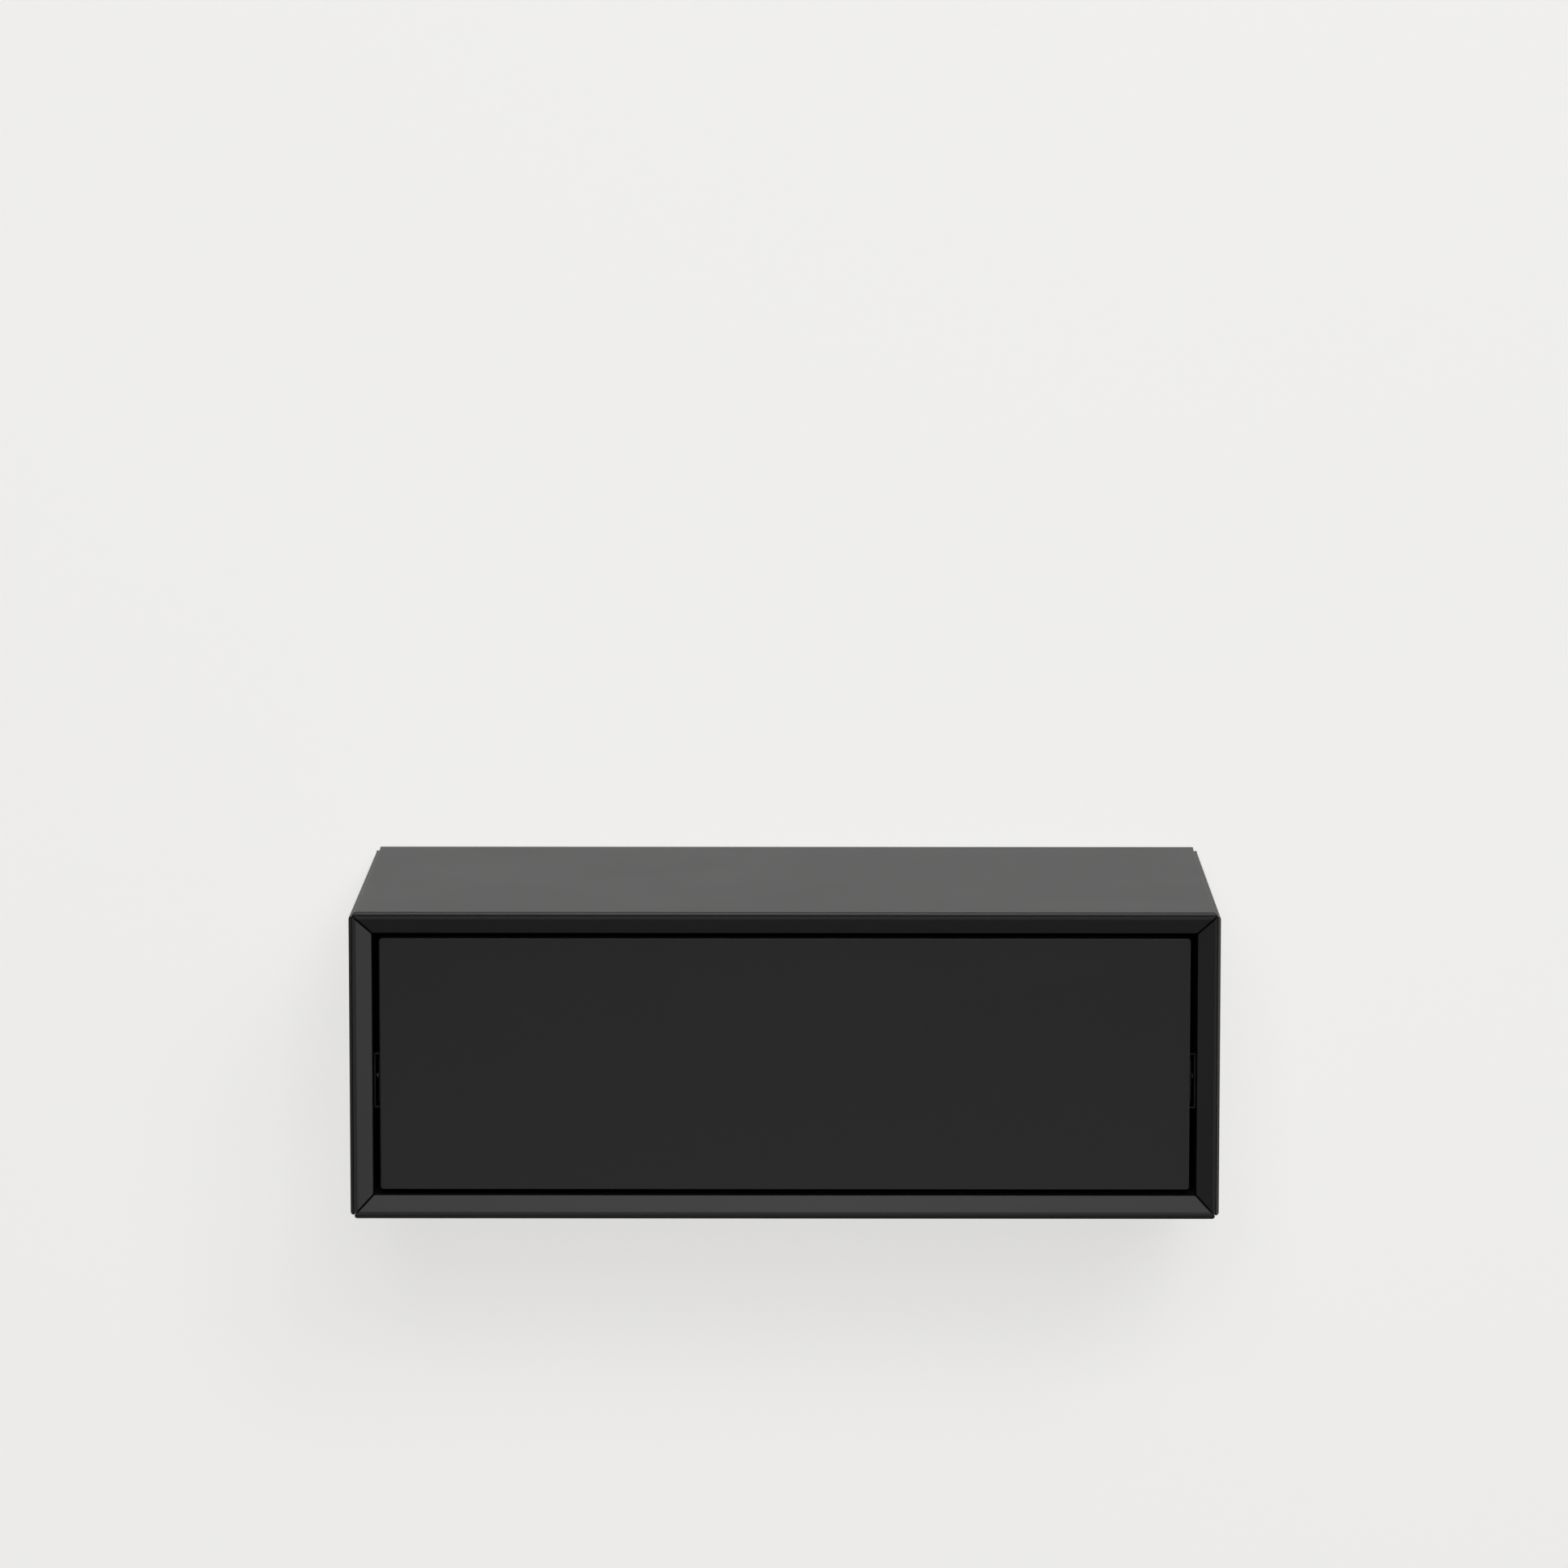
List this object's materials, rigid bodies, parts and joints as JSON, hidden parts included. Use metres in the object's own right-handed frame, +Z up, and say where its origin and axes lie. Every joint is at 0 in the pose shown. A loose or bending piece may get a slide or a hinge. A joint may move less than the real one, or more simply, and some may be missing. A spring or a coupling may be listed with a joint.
{
  "type": "wall-hung drawer unit",
  "caption": "Low wall-hung drawer unit in matt black: mitred case with bevelled front edges and one handleless push-to-open drawer on ball runners.",
  "frame": {"origin": "middle of the wall rail's back face, on the wall plane, 55 mm below the unit's top", "axes": "+Z up, +X to the right along the width as seen from the room, +Y into the wall; the front faces -Y"},
  "size_m": [0.7, 0.38, 0.25],
  "materials": {
    "black_lacquer": "matt black lacquer on fibreboard, fine even texture",
    "grey_foil_board": "dark grey foil on chipboard, faint linen print",
    "bare_beech": "bare planed beech",
    "zinc_plated_steel": "bright zinc plate, rolled",
    "screw_steel": "zinc-plated screw, turned",
    "ball_steel": "polished balls in a pressed strip",
    "spring_steel": "drawn wire",
    "grey_nylon": "moulded grey nylon, fine spark texture",
    "white_acetal": "moulded off-white acetal, smooth"
  },
  "bodies": {
    "carcass": {"back_panel": "black_lacquer", "bottom_panel": "black_lacquer", "left_hanging_hook": "zinc_plated_steel", "left_hook_screw_1": "screw_steel", "left_hook_screw_2": "screw_steel", "left_latch_end_cap": "grey_nylon", "left_latch_housing": "grey_nylon", "left_latch_screw_1": "screw_steel", "left_latch_screw_2": "screw_steel", "left_latch_spring": "spring_steel", "left_runner_cabinet_member": "zinc_plated_steel", "left_runner_cabinet_screw_1": "screw_steel", "left_runner_cabinet_screw_2": "screw_steel", "left_side_panel": "black_lacquer", "mitre_tongue_bottom_left": "bare_beech", "mitre_tongue_bottom_right": "bare_beech", "mitre_tongue_top_left": "bare_beech", "mitre_tongue_top_right": "bare_beech", "right_hanging_hook": "zinc_plated_steel", "right_hook_screw_1": "screw_steel", "right_hook_screw_2": "screw_steel", "right_latch_end_cap": "grey_nylon", "right_latch_housing": "grey_nylon", "right_latch_screw_1": "screw_steel", "right_latch_screw_2": "screw_steel", "right_latch_spring": "spring_steel", "right_runner_cabinet_member": "zinc_plated_steel", "right_runner_cabinet_screw_1": "screw_steel", "right_runner_cabinet_screw_2": "screw_steel", "right_side_panel": "black_lacquer", "top_panel": "black_lacquer", "wall_rail": "zinc_plated_steel"},
    "drawer": {"drawer_back": "grey_foil_board", "drawer_bottom": "grey_foil_board", "drawer_front": "black_lacquer", "drawer_front_screw_1": "screw_steel", "drawer_front_screw_2": "screw_steel", "drawer_front_screw_3": "screw_steel", "drawer_front_screw_4": "screw_steel", "drawer_inner_front": "grey_foil_board", "drawer_left_side": "grey_foil_board", "drawer_right_side": "grey_foil_board", "left_runner_drawer_member": "zinc_plated_steel", "left_runner_drawer_screw_1": "screw_steel", "left_runner_drawer_screw_2": "screw_steel", "left_latch_striker": "zinc_plated_steel", "left_latch_striker_screw": "screw_steel", "right_runner_drawer_member": "zinc_plated_steel", "right_runner_drawer_screw_1": "screw_steel", "right_runner_drawer_screw_2": "screw_steel", "right_latch_striker": "zinc_plated_steel", "right_latch_striker_screw": "screw_steel"},
    "left_middle_runner": {"left_runner_middle_member": "zinc_plated_steel"},
    "left_outer_balls": {"left_outer_ball_cage": "ball_steel"},
    "left_inner_balls": {"left_inner_ball_cage": "ball_steel"},
    "right_middle_runner": {"right_runner_middle_member": "zinc_plated_steel"},
    "right_outer_balls": {"right_outer_ball_cage": "ball_steel"},
    "right_inner_balls": {"right_inner_ball_cage": "ball_steel"},
    "latch_plungers": {"left_latch_plunger": "white_acetal", "right_latch_plunger": "white_acetal"}
  },
  "joints": [
    {"name": "push_release", "type": "slide", "parent": "carcass", "child": "latch_plungers", "axis": [0, -1, 0], "range_m": [-0.0025, 0.02], "deforming": ["left_latch_spring", "right_latch_spring"]},
    {"name": "drawer_slide", "type": "slide", "parent": "latch_plungers", "child": "drawer", "axis": [0, -1, 0], "range_m": [0, 0.28]},
    {"name": "left_middle_slide", "type": "slide", "parent": "carcass", "child": "left_middle_runner", "axis": [0, -1, 0], "range_m": [0, 0.14]},
    {"name": "left_outer_ball_roll", "type": "slide", "parent": "carcass", "child": "left_outer_balls", "axis": [0, -1, 0], "range_m": [0, 0.07]},
    {"name": "left_inner_ball_roll", "type": "slide", "parent": "left_middle_runner", "child": "left_inner_balls", "axis": [0, -1, 0], "range_m": [0, 0.07]},
    {"name": "right_middle_slide", "type": "slide", "parent": "carcass", "child": "right_middle_runner", "axis": [0, -1, 0], "range_m": [0, 0.14]},
    {"name": "right_outer_ball_roll", "type": "slide", "parent": "carcass", "child": "right_outer_balls", "axis": [0, -1, 0], "range_m": [0, 0.07]},
    {"name": "right_inner_ball_roll", "type": "slide", "parent": "right_middle_runner", "child": "right_inner_balls", "axis": [0, -1, 0], "range_m": [0, 0.07]}
  ],
  "couplings": [
    {"joint": "left_middle_slide", "follows": "drawer_slide", "ratio": 0.5},
    {"joint": "left_outer_ball_roll", "follows": "drawer_slide", "ratio": 0.25},
    {"joint": "left_inner_ball_roll", "follows": "drawer_slide", "ratio": 0.25},
    {"joint": "right_middle_slide", "follows": "drawer_slide", "ratio": 0.5},
    {"joint": "right_outer_ball_roll", "follows": "drawer_slide", "ratio": 0.25},
    {"joint": "right_inner_ball_roll", "follows": "drawer_slide", "ratio": 0.25}
  ]
}
